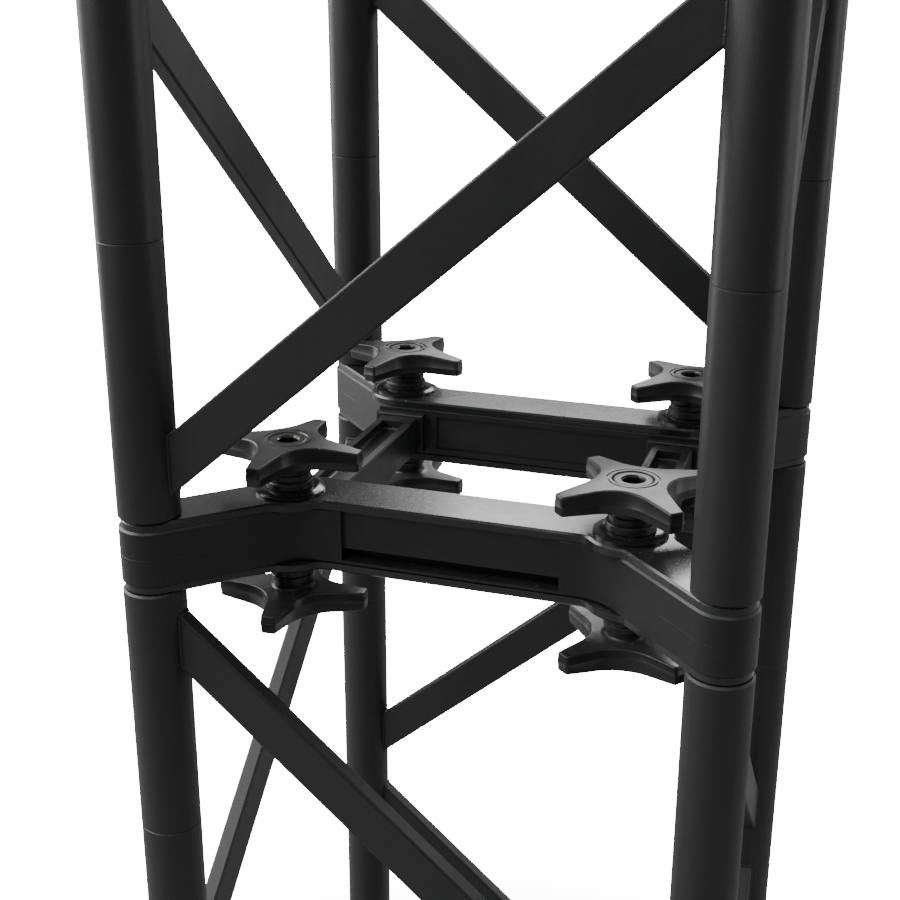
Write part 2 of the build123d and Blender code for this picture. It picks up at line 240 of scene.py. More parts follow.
def mesh_piece(name, places, faces, sharp=math.radians(38)):
    """An object at the origin from an array of places and a list of faces, smooth but for its sharp edges."""
    mesh = bpy.data.meshes.new(name)
    mesh.from_pydata(places.tolist(), [], faces)
    mesh.validate()
    mesh.shade_smooth()
    mesh.set_sharp_from_angle(angle=sharp)
    piece = bpy.data.objects.new(name, mesh)
    bpy.context.scene.collection.objects.link(piece)
    return piece


def joined_rings(name, tori):
    """One object from several closed rings of rings, each an array of rows by columns by three."""
    places, faces, start = [], [], 0
    for rows in tori:
        count, ring = rows.shape[:2]
        index = np.arange(count * ring).reshape(count, ring) + start
        upper = np.roll(index, -1, 0)
        quads = np.stack([index, np.roll(index, -1, 1), np.roll(upper, -1, 1), upper], -1)
        faces += quads.reshape(-1, 4).tolist()
        places.append(rows.reshape(-1, 3))
        start += count * ring
    return mesh_piece(name, np.vstack(places), faces, math.radians(60))


def placed(rows, matrix):
    """The grid's points carried by a matrix."""
    turn = np.array(matrix.to_3x3())
    return rows @ turn.T + np.array(matrix.translation)


def arc(centre, radius, start, end, count):
    """Points along a circular arc between two angles in degrees, and their directions from its centre."""
    angle = np.radians(np.linspace(start, end, count))
    out = np.stack([np.cos(angle), np.sin(angle)], -1)
    return np.array(centre) + radius * out, out


# ---------------------------------------------------------------- star knobs

BORE = 5.5 * MM              # through the knob and under the bolt's head
HUB_RADIUS = 11.5 * MM
NECK_RADIUS = 8.4 * MM
COLLAR_RADIUS = 10 * MM
COLLAR_HEIGHT = 3.2 * MM
ROOT_RADIUS = 10.4 * MM      # where the neck flares into the arms
ROOT_DROP = 1.6 * MM
RING_RADIUS = 9.2 * MM       # ring on the neck, over a groove of one step
RING_STEP = 1.0 * MM
TIP_CORNER = 1.5 * MM
DRAFT = 0.25 * MM            # the arms' top is this much smaller than their middle
SEAM_RIDGE = 0.12 * MM       # the mould's parting line round the arms
LOW_EDGE = 0.6 * MM          # radius of the arms' lower edge
SOFT_EDGE = 0.3 * MM         # small arrises of turned and moulded parts
HEAD_GAP = 0.06 * MM         # round the bolt's head in the knob's hub
MOUTH_FLARE = 0.35 * MM
GROOVE_GAP = 1.5 * MM        # between the bolt's head and the groove in the hub
GROOVE_WIDTH = 0.9 * MM
GROOVE_SLOPE = 0.15 * MM
GROOVE_DEPTH = 0.5 * MM
RIDGE_FOOT = 0.02 * MM
RIDGE_SPREAD = 0.3 * MM
RING_BEVEL = 0.2 * MM


def star_outline(shape):
    """Outline of a four-armed star and its outward normals. The half width of an arm grows from its tip
    inwards at the taper's slope. Two neighbouring flanks meet in an arc centred on their diagonal, and the
    tips' corners are small arcs. One eighth is made, mirrored, and turned four times."""
    tip, half = KNOB_REACH, shape.knob_tip_width / 2
    slope, waist, corner = shape.knob_taper, shape.knob_waist, TIP_CORNER
    normal = np.array([math.sin(slope), math.cos(slope)])
    reach = normal @ (tip, half)
    centre = np.full(2, (reach + waist) / normal.sum())
    waist_start = centre - waist * normal
    steep = 90 - math.degrees(slope)
    corner_y = (reach - corner - normal[0] * (tip - corner)) / normal[1]
    corner_points, corner_out = arc((tip - corner, corner_y), corner, 0, steep, 8)
    waist_points, waist_in = arc(centre, waist, 180 + steep, 225, 12)
    tip_points = np.stack([np.full(6, tip), np.linspace(0, corner_y, 6)], -1)[:-1]
    flank_points = np.linspace(corner_points[-1], waist_start, 14)[1:-1]
    eighth = np.vstack([tip_points, corner_points, flank_points, waist_points])
    outs = np.vstack([np.tile((1.0, 0.0), (5, 1)), corner_out, np.tile(normal, (12, 1)), -waist_in])
    mirrored = (eighth[1:-1] * (1, -1))[::-1], (outs[1:-1] * (1, -1))[::-1]
    arm, arm_out = np.vstack([mirrored[0], eighth]), np.vstack([mirrored[1], outs])
    turns = [np.array([[math.cos(a), math.sin(a)], [-math.sin(a), math.cos(a)]])
             for a in np.arange(4) * math.pi / 2]
    return np.vstack([arm @ t for t in turns]), np.vstack([arm_out @ t for t in turns])


def knob_rows(shape):
    """A star knob as a closed ring of rings. Every ring has one point for each point of the star's outline.
    On the neck and the hub the rings are circles. On the arms they are the outline moved in by an inset,
    and between hub and rim they pass evenly from the one to the other. The top falls from the hub to the
    tips, and the rims are quarter circles in section."""
    outline, out = star_outline(shape)
    angle = np.arctan2(outline[:, 1], outline[:, 0])
    spoke = np.stack([np.cos(angle), np.sin(angle)], -1)
    top, edge = KNOB_TOP, shape.knob_edge
    under = top - shape.arm_depth
    seat = BOLT_TOP - HEAD_HEIGHT

    def circle(radius, z):
        return np.column_stack([radius * spoke, np.full(len(spoke), z)])

    def crown(flat):
        way = np.clip((np.hypot(*flat.T) - HUB_RADIUS) / (KNOB_REACH - HUB_RADIUS), 0, 1)
        return top - shape.knob_droop * way ** 1.15

    def rim(inset, drop):
        flat = outline - out * (inset + DRAFT)
        return np.column_stack([flat, crown(outline - out * (edge + DRAFT)) - drop])

    def side(inset, z):
        return np.column_stack([outline - out * inset, np.full(len(outline), z)])

    def between(a, b, steps):
        share = np.linspace(0, 1, steps + 2)[1:-1, None, None]
        return list(a + (b - a) * share)

    wall, flare = HEAD_RADIUS + HEAD_GAP, HEAD_GAP + MOUTH_FLARE
    rows = [circle(BORE, seat), circle(wall, seat), circle(wall, top - MOUTH_FLARE),
            circle(HEAD_RADIUS + flare, top)]
    groove = HEAD_RADIUS + GROOVE_GAP
    rows += [circle(groove, top), circle(groove + GROOVE_SLOPE, top - GROOVE_DEPTH),
             circle(groove + GROOVE_WIDTH - GROOVE_SLOPE, top - GROOVE_DEPTH),
             circle(groove + GROOVE_WIDTH, top), circle(HUB_RADIUS, top)]
    for row in between(circle(HUB_RADIUS, top), rim(edge, 0), 7):
        row[:, 2] = crown(row[:, :2])
        rows.append(row)
    for turn in np.radians(np.linspace(0, 90, 7)):
        rows.append(rim(edge * (1 - math.sin(turn)), edge * (1 - math.cos(turn))))
    half_way = under + 0.45 * (shape.arm_depth - shape.knob_droop)
    for inset, rise in ((RIDGE_FOOT, RIDGE_SPREAD), (-SEAM_RIDGE, SEAM_RIDGE),
                        (-SEAM_RIDGE, -SEAM_RIDGE), (RIDGE_FOOT, -RIDGE_SPREAD)):
        rows.append(side(inset, half_way + rise))
    for turn in np.radians(np.linspace(0, 90, 5)):
        rows.append(side(DRAFT + LOW_EDGE * (1 - math.cos(turn)), under + LOW_EDGE * (1 - math.sin(turn))))
    rows += between(side(DRAFT + LOW_EDGE, under), circle(ROOT_RADIUS, under), 5)
    for turn in np.radians(np.linspace(0, 90, 6)):
        rows.append(circle(ROOT_RADIUS - (ROOT_RADIUS - NECK_RADIUS) * math.sin(turn),
                           under - ROOT_DROP * (1 - math.cos(turn))))
    collar, soft = WASHER_TOP + COLLAR_HEIGHT, RING_RADIUS - RING_BEVEL
    profile = [(NECK_RADIUS, collar + 3 * RING_STEP), (soft, collar + 3 * RING_STEP),
               (RING_RADIUS, collar + 3 * RING_STEP - RING_BEVEL),
               (RING_RADIUS, collar + RING_STEP + RING_BEVEL), (soft, collar + RING_STEP),
               (NECK_RADIUS, collar + RING_STEP), (NECK_RADIUS, collar),
               (COLLAR_RADIUS - SOFT_EDGE, collar), (COLLAR_RADIUS, collar - SOFT_EDGE),
               (COLLAR_RADIUS, WASHER_TOP + SOFT_EDGE), (COLLAR_RADIUS - SOFT_EDGE, WASHER_TOP),
               (BORE, WASHER_TOP)]
    rows += [circle(radius, z) for radius, z in profile]
    return np.stack(rows[::-1])


def knob_place(level, corner):
    """Where a knob stands: on the outer face of the joint's plates, its own Z away from the joint."""
    axis = middle(f"clamp_bolt_{corner}")
    side = 1 if level == "upper" else -1
    turn = Matrix.Rotation(arm_angle(f"{level}_knob_{corner}", axis), 4, "Z")
    return Matrix.Translation((axis.x, axis.y, JOINT_Z + side * FACE_GAP)) @ turn @ (
        Matrix.Identity(4) if side > 0 else FLIP)


# ---------------------------------------------------------------- clamp bolts

SOCKET_DEPTH = 5.5 * MM
SOCKET_CONE = 0.9 * MM       # the drilled cone under the socket's floor
HEAD_EDGE = 0.9 * MM         # radius of the head's upper edge
CREST_RADIUS = 4.97 * MM
PLAIN_SHANK = 12 * MM        # under the head, before the thread starts
THREAD_FADE = 2 * MM
TIP_CHAMFER = 0.9 * MM
BOLT_SIDES = 72
PITCH_STEPS = 7              # rings in one turn of the thread


def hexagon(angle, flats):
    """Radius of a hexagon at an angle: half the width across flats over the cosine of the angle to the
    nearest flat's normal."""
    return flats / 2 / np.cos((angle + math.pi / 6) % (math.pi / 3) - math.pi / 6)


def bolt_rows(shape):
    """A socket-head bolt as rings from the socket's floor over the head and down the shank. On the thread
    the radius falls from the crest by the thread's depth times a wave with flat crests, which climbs one
    pitch for each turn and fades out at both ends of the thread."""
    angle = np.linspace(0, 2 * math.pi, BOLT_SIDES, endpoint=False)
    spoke = np.stack([np.cos(angle), np.sin(angle)], -1)

    def ring(radius, z):
        return np.column_stack([spoke * np.broadcast_to(radius, angle.shape)[:, None],
                                np.broadcast_to(z, angle.shape)])

    seat, floor = BOLT_TOP - HEAD_HEIGHT, BOLT_TOP - SOCKET_DEPTH
    hole, mouth = hexagon(angle, shape.socket_flats), shape.socket_flats / 2 * 1.24
    rows = [ring(hole * 0.2, floor - SOCKET_CONE), ring(hole * 0.85, floor - SOCKET_CONE / 6),
            ring(hole, floor), ring(hole, BOLT_TOP - 0.75 * MM),
            ring(np.maximum(hole, mouth * 0.97), BOLT_TOP - SOFT_EDGE), ring(mouth, BOLT_TOP),
            ring(HEAD_RADIUS - HEAD_EDGE, BOLT_TOP)]
    for turn in np.radians(np.linspace(15, 90, 5)):
        rows.append(ring(HEAD_RADIUS - HEAD_EDGE * (1 - math.sin(turn)),
                         BOLT_TOP - HEAD_EDGE * (1 - math.cos(turn))))
    rows += [ring(HEAD_RADIUS, seat + SOFT_EDGE), ring(HEAD_RADIUS - SOFT_EDGE, seat),
             ring(CREST_RADIUS + 0.4 * MM, seat), ring(CREST_RADIUS, seat - 0.4 * MM)]
    start, end = seat - PLAIN_SHANK, BOLT_END + TIP_CHAMFER
    heights = np.arange(start, end, -shape.thread_pitch / PITCH_STEPS)
    fade = np.clip(np.minimum(start - heights, THREAD_FADE) / THREAD_FADE, 0, 1)
    for z, share in zip(heights, fade):
        climb = (z / shape.thread_pitch - angle / (2 * math.pi)) % 1
        wave = np.clip(1.3 - 2.6 * np.abs(climb - 0.5) * 1.15, 0, 1)
        rows.append(ring(CREST_RADIUS - shape.thread_depth * share * wave, z))
    rows += [ring(CREST_RADIUS - TIP_CHAMFER * 0.9, BOLT_END + 0.1 * MM),
             ring(CREST_RADIUS - TIP_CHAMFER, BOLT_END)]
    return np.stack(rows[::-1])


# ---------------------------------------------------------------- welds and parting lines

WELD_HALF_WIDTH = 9.4 * MM   # just inside the brace's own section
WELD_HALF_THICK = 3.7 * MM
SQUARENESS = 0.28            # power of the rounded rectangle: 0 is square and 1 an ellipse
WELD_STEPS = 4               # points on the middle line for each ripple
WELD_SIDES = 10
PARTING_RUN = 24 * MM        # straight stretch of a parting line along the arm
PARTING_HALF = 0.22 * MM     # half its height on the casting
PARTING_STEPS = 16
BEND_STEPS = 64


def brace_direction(node, outward):
    """Unit vector along a brace: square to the face's outward normal and to the brace's widest edge face."""
    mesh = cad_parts[node].data
    count = len(mesh.polygons)
    normals, areas = np.empty(3 * count, np.float32), np.empty(count, np.float32)
    mesh.polygons.foreach_get("normal", normals)
    mesh.polygons.foreach_get("area", areas)
    normals = normals.reshape(-1, 3)
    edge_faces = np.abs(normals @ np.array(outward)) < 0.05
    widest = normals[np.argmax(np.where(edge_faces, areas, 0))]
    return Vector(outward).cross(Vector(widest.tolist())).normalized()


def weld_rows(node, face, end, shape):
    """A ring of rings round one end of a brace. The middle line is where the brace's rounded section, run
    along the brace, meets the chord: its distance from the chord's axis is the chord's radius. Round that
    line runs a circle whose radius swells and shrinks in ripples."""
    outward = Vector(OUTWARD[face])
    along = brace_direction(node, outward)
    level = Vector((0, 0, 1)).cross(outward)
    along *= 1 if along.dot(level) > 0 else -1
    across = along.cross(outward)
    turn = np.linspace(0, 2 * math.pi, WELD_STEPS * shape.weld_ripples, endpoint=False)
    wide = WELD_HALF_WIDTH * np.sign(np.cos(turn)) * np.abs(np.cos(turn)) ** SQUARENESS
    thick = WELD_HALF_THICK * np.sign(np.sin(turn)) * np.abs(np.sin(turn)) ** SQUARENESS
    reach = CHORD_XY - np.sqrt(CHORD_RADIUS ** 2 - thick ** 2)
    run = (end * reach - wide * across.dot(level)) / along.dot(level)
    centre = np.array(middle(node))
    line = (centre + np.outer(wide, across) + np.outer(thick, outward) + np.outer(run, along))
    chord = np.array(level) * end * CHORD_XY + np.array(outward) * CHORD_XY
    away = line - chord
    away[:, 2] = 0
    away /= np.linalg.norm(away, axis=1)[:, None]
    tangent = np.roll(line, -1, 0) - np.roll(line, 1, 0)
    tangent /= np.linalg.norm(tangent, axis=1)[:, None]
    side = np.cross(tangent, away)
    side /= np.linalg.norm(side, axis=1)[:, None]
    up = np.cross(side, tangent)
    share = np.linspace(0, 1, len(turn), endpoint=False)
    swell = shape.weld_radius * (0.93 + 0.14 * np.abs(np.sin(math.pi * shape.weld_ripples * share)))
    section = np.linspace(0, 2 * math.pi, WELD_SIDES, endpoint=False)
    ring = (np.cos(section)[None, :, None] * up[:, None] + np.sin(section)[None, :, None] * side[:, None])
    rows = line[:, None] + swell[:, None, None] * ring
    return rows if signed_volume(rows) > 0 else rows[:, ::-1]


def signed_volume(rows):
    """Volume inside a ring of rings, positive when its faces, as grid_piece makes them, point outwards."""
    a, b = rows, np.roll(rows, -1, 1)
    c, d = np.roll(b, -1, 0), np.roll(rows, -1, 0)
    return (np.einsum("ijk,ijk->", a, np.cross(b, c)) + np.einsum("ijk,ijk->", a, np.cross(c, d))) / 6


def parting_rows(sx, sy, shape):
    """A low ridge round one corner of a bracket. Its line is half a circle of the chord's radius round the
    chord's axis, run on straight at both ends along the arm, and its height fades to nothing there."""
    heading = math.atan2(sy, sx)
    bend, out = arc((0, 0), CHORD_RADIUS, -90, 90, BEND_STEPS)
    straight = np.linspace(1, 0, PARTING_STEPS, endpoint=False)[:, None] * (-PARTING_RUN, 0)
    line = np.vstack([straight + (0, -CHORD_RADIUS), bend, (straight + (0, CHORD_RADIUS))[::-1]])
    outs = np.vstack([np.tile((0, -1.0), (PARTING_STEPS, 1)), out, np.tile((0, 1.0), (PARTING_STEPS, 1))])
    turn = np.array([[math.cos(heading), math.sin(heading)], [-math.sin(heading), math.cos(heading)]])
    line, outs = line @ turn + (sx * CHORD_XY, sy * CHORD_XY), outs @ turn
    share = np.linspace(0, 1, len(line))
    height = shape.parting_height * np.clip(5 * np.sin(math.pi * share), 0.02, 1)
    section = np.radians(np.linspace(0, 360, 8, endpoint=False))
    rows = np.empty((len(line), len(section), 3))
    proud = height[:, None] * np.cos(section)
    rows[:, :, :2] = line[:, None] + outs[:, None] * proud[:, :, None]
    spread = np.clip(8 * np.sin(math.pi * share), 0.1, 1)
    rows[:, :, 2] = JOINT_Z + PARTING_HALF * np.sin(section) * spread[:, None]
    return rows[::-1]


# ---------------------------------------------------------------- shader node groups

def add_node(tree, kind, **values):
    """A node with its sockets and settings given by name. A pair of a node and a socket name makes a link."""
    made = tree.nodes.new(kind)
    for key, value in values.items():
        if key in made.inputs:
            join(tree, value, made.inputs[key])
        else:
            setattr(made, key, value)
    return made


def join(tree, value, socket):
    """Set a socket, or link it when the value is a pair of a node and the name of its output."""
    if isinstance(value, tuple) and isinstance(value[0], bpy.types.Node):
        tree.links.new(value[0].outputs[value[1]], socket)
    else:
        socket.default_value = value


def maths(tree, operation, *values):
    """A Math node on values or pairs of node and output. The result is a pair too."""
    made = tree.nodes.new("ShaderNodeMath")
    made.operation = operation
    for value, socket in zip(values, made.inputs):
        join(tree, value, socket)
    return made, "Value"


def remap(tree, value, low, high, to_low=0.0, to_high=1.0):
    """A value carried from one range to another and kept within it."""
    made = add_node(tree, "ShaderNodeMapRange", **{"Value": value, "From Min": low, "From Max": high,
                                                   "To Min": to_low, "To Max": to_high})
    return made, "Result"


def noise(tree, scale, detail=2.0, roughness=0.5):
    """Noise on Object coordinates, scale in ripples a metre."""
    place = tree.nodes.new("ShaderNodeTexCoord")
    made = add_node(tree, "ShaderNodeTexNoise", Vector=(place, "Object"), Scale=scale, Detail=detail,
                    Roughness=roughness)
    return made, "Fac"


def new_group(name, inputs, outputs):
    """A shader node group, its input node and its output node. Inputs are names with defaults."""
    tree = bpy.data.node_groups.new(name, "ShaderNodeTree")
    for label, default in inputs.items():
        socket = tree.interface.new_socket(name=label, in_out="INPUT", socket_type="NodeSocketFloat")
        socket.default_value = default
    for label in outputs:
        tree.interface.new_socket(name=label, in_out="OUTPUT", socket_type="NodeSocketFloat")
    return tree, tree.nodes.new("NodeGroupInput"), tree.nodes.new("NodeGroupOutput")


def powder_skin_group():
    """Orange peel of a powder coat: broad ripples with a finer grain on them, and specks of the powder."""
    tree, given, result = new_group("powder_skin", {"Peel size": 0.002}, ("Height", "Specks"))
    ripples = maths(tree, "DIVIDE", 1.0, (given, "Peel size"))
    broad = noise(tree, ripples, 1.5, 0.4)
    fine = noise(tree, maths(tree, "MULTIPLY", ripples, 4.3), 2.0, 0.5)
    height = maths(tree, "ADD", maths(tree, "MULTIPLY", broad, 0.8), maths(tree, "MULTIPLY", fine, 0.2))
    specks = remap(tree, noise(tree, maths(tree, "MULTIPLY", ripples, 2.6), 3.0, 0.7), 0.50, 0.72)
    join(tree, height, result.inputs["Height"])
    join(tree, specks, result.inputs["Specks"])
    return tree


def rubbed_edge_group():
    """Rubbed edges, which also carry painted highlights: edges, found as where a rounded normal leaves the
    true one, broken up by noise.
    """
    tree, given, result = new_group("rubbed_and_highlit_edges", {"Width": 0.001, "Patch size": 0.02}, ("Mask",))
    round_normal = add_node(tree, "ShaderNodeBevel", samples=4, Radius=(given, "Width"))
    true_normal = tree.nodes.new("ShaderNodeNewGeometry")
    likeness = add_node(tree, "ShaderNodeVectorMath", operation="DOT_PRODUCT")
    join(tree, (round_normal, "Normal"), likeness.inputs[0])
    join(tree, (true_normal, "Normal"), likeness.inputs[1])
    edge = remap(tree, (likeness, "Value"), 0.995, 0.82)
    patches = noise(tree, maths(tree, "DIVIDE", 1.0, (given, "Patch size")), 4.0, 0.6)
    join(tree, maths(tree, "MULTIPLY", edge, remap(tree, patches, 0.34, 0.62)), result.inputs["Mask"])
    return tree


def dust_group():
    """Dust: a thin uneven film and small specks, on faces that look up."""
    tree, given, result = new_group("settled_dust", {"Film": 0.1, "Specks": 0.5, "Speck size": 0.0008},
                                    ("Mask",))
    geometry = tree.nodes.new("ShaderNodeNewGeometry")
    parts = add_node(tree, "ShaderNodeSeparateXYZ", Vector=(geometry, "Normal"))
    upward = remap(tree, (parts, "Z"), 0.35, 0.95)
    film = maths(tree, "MULTIPLY", remap(tree, noise(tree, 55.0, 5.0, 0.65), 0.38, 0.75), (given, "Film"))
    grains = noise(tree, maths(tree, "DIVIDE", 1.0, (given, "Speck size")), 1.0, 0.4)
    specks = maths(tree, "MULTIPLY", remap(tree, grains, 0.71, 0.76), (given, "Specks"))
    join(tree, maths(tree, "MULTIPLY", upward, maths(tree, "ADD", film, specks)), result.inputs["Mask"])
    return tree


def scuff_group():
    """Handling marks: long, faint smears that only change the gloss."""
    tree, given, result = new_group("handling_scuffs", {"Smear size": 0.03}, ("Mask",))
    place = tree.nodes.new("ShaderNodeTexCoord")
    stretch = add_node(tree, "ShaderNodeMapping", Vector=(place, "Object"), Scale=(1.0, 1.0, 0.35))
    smears = add_node(tree, "ShaderNodeTexNoise", Vector=(stretch, "Vector"), Detail=6.0, Roughness=0.62,
                      Distortion=0.6, Scale=maths(tree, "DIVIDE", 1.0, (given, "Smear size")))
    join(tree, remap(tree, (smears, "Fac"), 0.42, 0.68), result.inputs["Mask"])
    return tree


GROUP_MAKERS = {"powder_skin": powder_skin_group, "rubbed_and_highlit_edges": rubbed_edge_group,
                "settled_dust": dust_group, "handling_scuffs": scuff_group}


def use_group(tree, name, **values):
    """A placed copy of one of the shared groups, which is built the first time."""
    made = tree.nodes.new("ShaderNodeGroup")
    made.node_tree = bpy.data.node_groups.get(name) or GROUP_MAKERS[name]()
    for key, value in values.items():
        join(tree, value, made.inputs[key.replace("_", " ")])
    return made


# ---------------------------------------------------------------- materials

EDGE_PATCH = 14 * MM          # stretches of an edge that are rubbed and painted light as highlights
DUST_SPECK = 1.1 * MM
SMEAR_LENGTH = 35 * MM
SPECK_SHARE = 0.5            # how far the specks of the powder show
SPECK_GAIN = 1.7             # a speck's colour is the paint's, times this
SPECK_LIFT = 0.002           # and a little more
DUST_DULLS = 0.5             # roughness that full dust adds
RUB_POLISHES = 0.10          # roughness that full rubbing takes off


def colour4(colour):
    """A colour with full alpha."""
    return (*colour, 1.0)


def mixed(tree, mask, first, second):
    """Mix of two colours by a mask. The result is a pair of the node and its colour output."""
    made = add_node(tree, "ShaderNodeMix", data_type="RGBA")
    for value, socket in ((mask, made.inputs[0]), (first, made.inputs[6]), (second, made.inputs[7])):
        join(tree, value, socket)
    return made, 2


def surface(name, finish, colour, roughness, smear, grain, grain_height, edge_width, wear_and_highlight, wear_and_highlight_colour=None,
            film=0.0, specks=0.0, metal=0.0, coat=0.0, coat_roughness=0.2):
    """A finish of this truss. The colour has faint specks, rubbed edges with painted highlights in
    wear_and_highlight_colour, and dust over it.
    The roughness rises by smear in the smears and by the dust, and falls on the rubbed edges. The grain is
    bump.
    finish holds the shared settings."""
    material = bpy.data.materials.new(name)
    material.use_nodes = True
    tree = material.node_tree
    tree.nodes.clear()
    shader = add_node(tree, "ShaderNodeBsdfPrincipled", Metallic=metal, IOR=1.5)
    shader.inputs["Coat Weight"].default_value = coat
    shader.inputs["Coat Roughness"].default_value = coat_roughness
    output = tree.nodes.new("ShaderNodeOutputMaterial")
    join(tree, (shader, "BSDF"), output.inputs["Surface"])
    skin = use_group(tree, "powder_skin", Peel_size=grain)
    edges = use_group(tree, "rubbed_and_highlit_edges", Width=edge_width, Patch_size=EDGE_PATCH)
    dust = use_group(tree, "settled_dust", Film=film, Specks=specks, Speck_size=DUST_SPECK)
    scuffs = use_group(tree, "handling_scuffs", Smear_size=SMEAR_LENGTH)
    lighter = colour4([min(1.0, SPECK_GAIN * c + SPECK_LIFT) for c in colour])
    # Rubbed edges and painted highlights: the edge mask that lightens the colour towards the wear and
    # highlight colour
    rubbed_and_highlit = maths(tree, "MULTIPLY", (edges, "Mask"), wear_and_highlight)
    flecked = mixed(tree, maths(tree, "MULTIPLY", (skin, "Specks"), SPECK_SHARE), colour4(colour), lighter)
    worn_and_highlit = mixed(tree, rubbed_and_highlit, flecked, colour4(wear_and_highlight_colour or finish.rubbed_colour))
    dusty = mixed(tree, (dust, "Mask"), worn_and_highlit, colour4(finish.dust_colour))
    join(tree, dusty, shader.inputs["Base Color"])
    smeared = maths(tree, "ADD", roughness, maths(tree, "MULTIPLY", (scuffs, "Mask"), smear))
    dulled = maths(tree, "ADD", smeared, maths(tree, "MULTIPLY", (dust, "Mask"), DUST_DULLS))
    join(tree, maths(tree, "SUBTRACT", dulled, maths(tree, "MULTIPLY", rubbed_and_highlit, RUB_POLISHES)),
         shader.inputs["Roughness"])
    bump = add_node(tree, "ShaderNodeBump", Strength=1.0, Distance=grain_height, Height=(skin, "Height"))
    join(tree, (bump, "Normal"), shader.inputs["Normal"])
    return material


def satin_coat(finish):
    """Satin black powder coat of the welded modules."""
    return surface("satin_coat", finish, finish.tube_colour, roughness=0.42, smear=0.10,
                   grain=0.9 * MM, grain_height=0.03 * MM, edge_width=0.6 * MM, wear_and_highlight=0.30,
                   film=0.03, specks=0.30)


def weld_coat(finish):
    """The same powder coat where it has run thick over the welds."""
    return surface("weld_coat", finish, finish.tube_colour, roughness=0.42, smear=0.08,
                   grain=1.4 * MM, grain_height=0.03 * MM, edge_width=0.4 * MM, wear_and_highlight=0.0, specks=0.2)


def cast_coat(finish):
    """Powder coat on the cast coupling frame, with the casting's fine grain under it."""
    return surface("cast_coat", finish, finish.casting_colour, roughness=0.38, smear=0.10,
                   grain=0.8 * MM, grain_height=0.04 * MM, edge_width=0.45 * MM, wear_and_highlight=0.45,
                   film=0.05, specks=0.35)


def semi_gloss_coat(finish):
    """Semi-gloss powder coat with orange peel on the end plates. Its rubbed edges are painted light, as
    highlights along the plates' edges.
    """
    return surface("semi_gloss_coat", finish, finish.plate_colour, roughness=0.24, smear=0.07,
                   grain=finish.peel_size, grain_height=finish.peel_height, edge_width=0.5 * MM, wear_and_highlight=0.8,
                   film=0.05, specks=0.5, coat=0.35, coat_roughness=0.16)


def moulded_plastic(finish):
    """Moulded glass-filled plastic with a fine sparkle, and polished arrises painted light as highlights."""
    return surface("moulded_plastic", finish, finish.knob_colour, roughness=0.30, smear=0.12,
                   grain=0.6 * MM, grain_height=0.03 * MM, edge_width=0.7 * MM, wear_and_highlight=1.0,
                   wear_and_highlight_colour=(0.16, 0.16, 0.16), film=0.14, specks=0.7)


def glossy_nylon(finish):
    """Glossy nylon of the thrust washers."""
    return surface("glossy_nylon", finish, (0.010, 0.010, 0.011), roughness=0.16, smear=0.06,
                   grain=1.2 * MM, grain_height=0.006 * MM, edge_width=0.4 * MM, wear_and_highlight=0.3,
                   film=0.03, specks=0.2)


def black_oxide(finish):
    """Black oxide on the socket-head bolts, rubbed bright at the edges."""
    return surface("black_oxide", finish, (0.055, 0.054, 0.052), roughness=0.34, smear=0.10,
                   grain=0.6 * MM, grain_height=0.008 * MM, edge_width=0.35 * MM, wear_and_highlight=0.8,
                   wear_and_highlight_colour=(0.35, 0.34, 0.33), film=0.02, specks=0.2, metal=0.85)


def zinc_plate(finish):
    """Zinc plate on the threaded inserts."""
    return surface("zinc_plate", finish, (0.50, 0.50, 0.49), roughness=0.30, smear=0.12,
                   grain=0.5 * MM, grain_height=0.006 * MM, edge_width=0.3 * MM, wear_and_highlight=0.4,
                   wear_and_highlight_colour=(0.75, 0.75, 0.74), metal=1.0)


def drawn_aluminium(finish):
    """Bare drawn tube of the sleeves inside the chords."""
    return surface("drawn_aluminium", finish, (0.62, 0.62, 0.63), roughness=0.34, smear=0.12,
                   grain=0.8 * MM, grain_height=0.006 * MM, edge_width=0.4 * MM, wear_and_highlight=0.2,
                   wear_and_highlight_colour=(0.8, 0.8, 0.8), metal=1.0)


NODE_FINISHES = (("sleeve", drawn_aluminium), ("washer", glossy_nylon), ("clamp_bolt", black_oxide),
                 ("threaded_insert", zinc_plate), ("knob", moulded_plastic), ("end_plates", semi_gloss_coat),
                 ("coupling", cast_coat), ("", satin_coat))


def finish_named(maker, finish):
    """The material that this maker makes, made once."""
    return bpy.data.materials.get(maker.__name__) or maker(finish)


def dress(piece, maker, slot, body, *nodes):
    """Give a new piece its finish, let it ride a body, and hide the CAD nodes it stands for. The slot
    argument is not used.
    """
    piece.data.materials.append(finish_named(maker, bpy.context.scene.truss_finish))
    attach(piece, body)
    if nodes:
        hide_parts(*nodes)


# ---------------------------------------------------------------- operators

class TRUSS_OT_paint_frame(bpy.types.Operator):
    """Give every CAD node its finish"""

    bl_idname = "truss.paint_frame"
    bl_label = "Paint the frame"

    def execute(self, context):
        for name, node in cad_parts.items():
            maker = next(maker for word, maker in NODE_FINISHES if word in name)
            for slot in node.material_slots:
                slot.material = finish_named(maker, context.scene.truss_finish)
        return {"FINISHED"}


class TRUSS_OT_make_knobs(bpy.types.Operator):
    """Make the eight star knobs"""

    bl_idname = "truss.make_knobs"
    bl_label = "Star knobs"

    def execute(self, context):
        rows = knob_rows(context.scene.truss_shape)
        for level in MODULES:
            for corner in CORNERS:
                name = f"{level}_knob_{corner}"
                knob = grid_piece(f"moulded_{name}", placed(rows, knob_place(level, corner)), close_rows=True)
                dress(knob, moulded_plastic, "knob_plastic", name, name)
        return {"FINISHED"}


